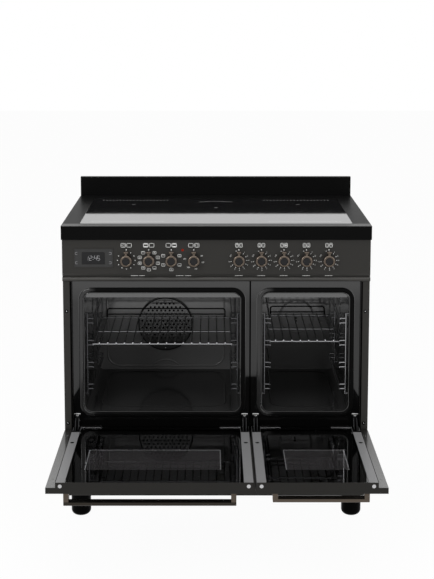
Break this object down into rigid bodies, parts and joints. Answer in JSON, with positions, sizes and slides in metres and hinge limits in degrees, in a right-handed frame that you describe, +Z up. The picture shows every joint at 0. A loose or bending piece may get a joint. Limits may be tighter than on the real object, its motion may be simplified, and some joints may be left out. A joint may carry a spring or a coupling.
{
  "type": "range cooker with double oven",
  "caption": "Free-standing range cooker with a glass induction hob, two ovens side by side, drop-down glazed doors, bar handles and rotary controls.",
  "frame": {"origin": "middle of the footprint on the floor, with both doors open", "axes": "+X to the right as seen from the front, +Y to the wall behind, +Z up"},
  "size_m": [0.895, 1.043, 0.957],
  "materials": {
    "enamel_anthracite": "fine satin anthracite paint",
    "worktop_black": "satin black",
    "black_glass": "polished opaque black ceramic glass",
    "clear_glass": "tinted see-through glass",
    "inner_glass": "coated reflective glass",
    "gloss_enamel": "glossy black vitreous enamel",
    "galvanised": "galvanised sheet",
    "bronze_metal": "satin bronze-grey anodised",
    "chrome_wire": "bright chromed wire",
    "steel": "bright steel",
    "rail_steel": "satin grey coated steel",
    "seal_rubber": "matt black silicone",
    "foot_black": "glossy black",
    "mineral_wool": "mineral wool",
    "copper_coil": "litz winding",
    "board": "circuit board",
    "switch_plastic": "moulded",
    "heater_tube": "dark sheathed tube",
    "lamp_glass": "clear lens",
    "red_lens": "red lens"
  },
  "bodies": {
    "frame": {"back_panel": "galvanised", "base_pan": "galvanised", "cable_gland": "switch_plastic", "control_panel": "enamel_anthracite", "control_switches": "switch_plastic", "cooling_fan": "galvanised", "display_window": "black_glass", "door_seals": "seal_rubber", "fan_cover": "gloss_enamel", "fan_motor": "galvanised", "feet": "foot_black", "front_stiles": "enamel_anthracite", "heating_elements": "heater_tube", "hinge_arms": "steel", "hinge_receivers": "steel", "hob_glass": "black_glass", "hob_tray": "galvanised", "induction_coils": "copper_coil", "insulation_wraps": "mineral_wool", "kick_panel": "enamel_anthracite", "oven_cavity_left": "gloss_enamel", "oven_cavity_right": "gloss_enamel", "oven_front_plates": "gloss_enamel", "oven_lamps": "lamp_glass", "pilot_lamp": "red_lens", "plinth_beam": "galvanised", "power_board": "board", "rear_upstand": "worktop_black", "ring_heater": "heater_tube", "side_panels": "enamel_anthracite", "side_racks": "chrome_wire", "terminal_box": "galvanised", "timer_module": "board", "trim_moulding": "enamel_anthracite", "worktop": "worktop_black"},
    "door_left": {"door_panel_left": "enamel_anthracite", "door_window_left": "clear_glass", "door_rails_left": "rail_steel", "door_inner_glass_left": "inner_glass", "door_handle_left": "bronze_metal", "door_fittings_left": "steel"},
    "door_right": {"door_panel_right": "enamel_anthracite", "door_window_right": "clear_glass", "door_rails_right": "rail_steel", "door_inner_glass_right": "inner_glass", "door_handle_right": "bronze_metal", "door_fittings_right": "steel"},
    "left_shelf": {"shelf_left": "chrome_wire"},
    "right_shelf": {"shelf_right": "chrome_wire"},
    "oven_fan": {"fan_impeller": "steel"},
    "blower_rotor": {"cooling_rotor": "steel"},
    "knob_1_body": {"knob_1": "bronze_metal"},
    "knob_2_body": {"knob_2": "bronze_metal"},
    "knob_3_body": {"knob_3": "bronze_metal"},
    "knob_4_body": {"knob_4": "bronze_metal"},
    "knob_5_body": {"knob_5": "bronze_metal"},
    "knob_6_body": {"knob_6": "bronze_metal"},
    "knob_7_body": {"knob_7": "bronze_metal"},
    "knob_8_body": {"knob_8": "bronze_metal"},
    "knob_9_body": {"knob_9": "bronze_metal"}
  },
  "joints": [
    {"name": "left_door_hinge", "type": "hinge", "parent": "frame", "child": "door_left", "pos_m": [-0.1738, -0.0765, 0.2795], "axis": [-1, 0, 0], "range_deg": [0, 90]},
    {"name": "right_door_hinge", "type": "hinge", "parent": "frame", "child": "door_right", "pos_m": [0.2728, -0.0765, 0.2795], "axis": [-1, 0, 0], "range_deg": [0, 90]},
    {"name": "left_shelf_slide", "type": "slide", "parent": "frame", "child": "left_shelf", "axis": [0, 1, 0], "range_m": [-0.25, 0]},
    {"name": "right_shelf_slide", "type": "slide", "parent": "frame", "child": "right_shelf", "axis": [0, 1, 0], "range_m": [-0.25, 0]},
    {"name": "oven_fan_spin", "type": "hinge", "parent": "frame", "child": "oven_fan", "pos_m": [-0.1637, 0.378, 0.491], "axis": [0, 1, 0], "continuous": true},
    {"name": "blower_spin", "type": "hinge", "parent": "frame", "child": "blower_rotor", "pos_m": [0, 0.3215, 0.742], "axis": [1, 0, 0], "continuous": true},
    {"name": "oven_timer_turn", "type": "hinge", "parent": "frame", "child": "knob_1_body", "pos_m": [-0.26, -0.0695, 0.7935], "axis": [0, 1, 0], "range_deg": [0, 300]},
    {"name": "left_oven_function_turn", "type": "hinge", "parent": "frame", "child": "knob_2_body", "pos_m": [-0.195, -0.0695, 0.7935], "axis": [0, 1, 0], "range_deg": [0, 324]},
    {"name": "right_oven_function_turn", "type": "hinge", "parent": "frame", "child": "knob_3_body", "pos_m": [-0.13, -0.0695, 0.7935], "axis": [0, 1, 0], "range_deg": [0, 300]},
    {"name": "right_oven_heat_turn", "type": "hinge", "parent": "frame", "child": "knob_4_body", "pos_m": [-0.065, -0.0695, 0.7935], "axis": [0, 1, 0], "range_deg": [0, 300]},
    {"name": "zone_rear_left_turn", "type": "hinge", "parent": "frame", "child": "knob_5_body", "pos_m": [0.065, -0.0695, 0.7935], "axis": [0, 1, 0], "range_deg": [0, 300]},
    {"name": "zone_front_left_turn", "type": "hinge", "parent": "frame", "child": "knob_6_body", "pos_m": [0.13, -0.0695, 0.7935], "axis": [0, 1, 0], "range_deg": [0, 300]},
    {"name": "zone_middle_turn", "type": "hinge", "parent": "frame", "child": "knob_7_body", "pos_m": [0.195, -0.0695, 0.7935], "axis": [0, 1, 0], "range_deg": [0, 300]},
    {"name": "zone_front_right_turn", "type": "hinge", "parent": "frame", "child": "knob_8_body", "pos_m": [0.26, -0.0695, 0.7935], "axis": [0, 1, 0], "range_deg": [0, 300]},
    {"name": "zone_rear_right_turn", "type": "hinge", "parent": "frame", "child": "knob_9_body", "pos_m": [0.325, -0.0695, 0.7935], "axis": [0, 1, 0], "range_deg": [0, 300]}
  ]
}
